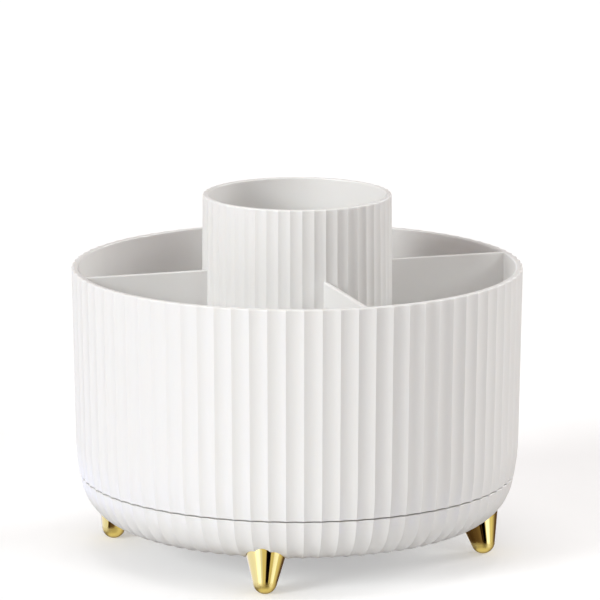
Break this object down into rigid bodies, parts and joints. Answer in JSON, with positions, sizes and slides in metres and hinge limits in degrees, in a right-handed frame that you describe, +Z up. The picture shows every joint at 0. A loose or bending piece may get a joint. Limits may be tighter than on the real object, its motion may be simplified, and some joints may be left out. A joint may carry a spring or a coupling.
{
  "type": "rotating makeup organizer",
  "caption": "Round fluted organizer tub with a tall centre cup and radial partitions, turning freely on a shallow bowl-shaped base that stands on splayed gold feet.",
  "frame": {"origin": "on the floor under the feet, on the turning axis", "axes": "+Z up along the turning axis; at rest the partitions lie along X and Y"},
  "size_m": [0.161, 0.161, 0.1291],
  "materials": {
    "white_shell": "smooth white moulding, satin gloss",
    "gold": "polished gold plating",
    "race_steel": "pressed steel, lightly oiled",
    "ball_steel": "polished bearing steel",
    "screw_steel": "zinc plated",
    "cage_plastic": "natural acetal"
  },
  "bodies": {
    "stand": {"base": "white_shell", "foot_1": "gold", "foot_2": "gold", "foot_3": "gold", "foot_4": "gold", "foot_screws": "screw_steel", "lower_race": "race_steel", "bush": "cage_plastic"},
    "turning_tub": {"tub": "white_shell", "upper_race": "race_steel", "washer": "screw_steel", "spindle_screw": "screw_steel"},
    "ball_ring": {"ball_cage": "cage_plastic", "balls": "ball_steel"}
  },
  "joints": [
    {"name": "tub_spin", "type": "hinge", "parent": "stand", "child": "turning_tub", "pos_m": [0, 0, 0.022], "axis": [0, 0, 1], "continuous": true},
    {"name": "cage_spin", "type": "hinge", "parent": "stand", "child": "ball_ring", "pos_m": [0, 0, 0.022], "axis": [0, 0, 1], "continuous": true}
  ],
  "couplings": [
    {"joint": "cage_spin", "follows": "tub_spin", "ratio": 0.5}
  ]
}
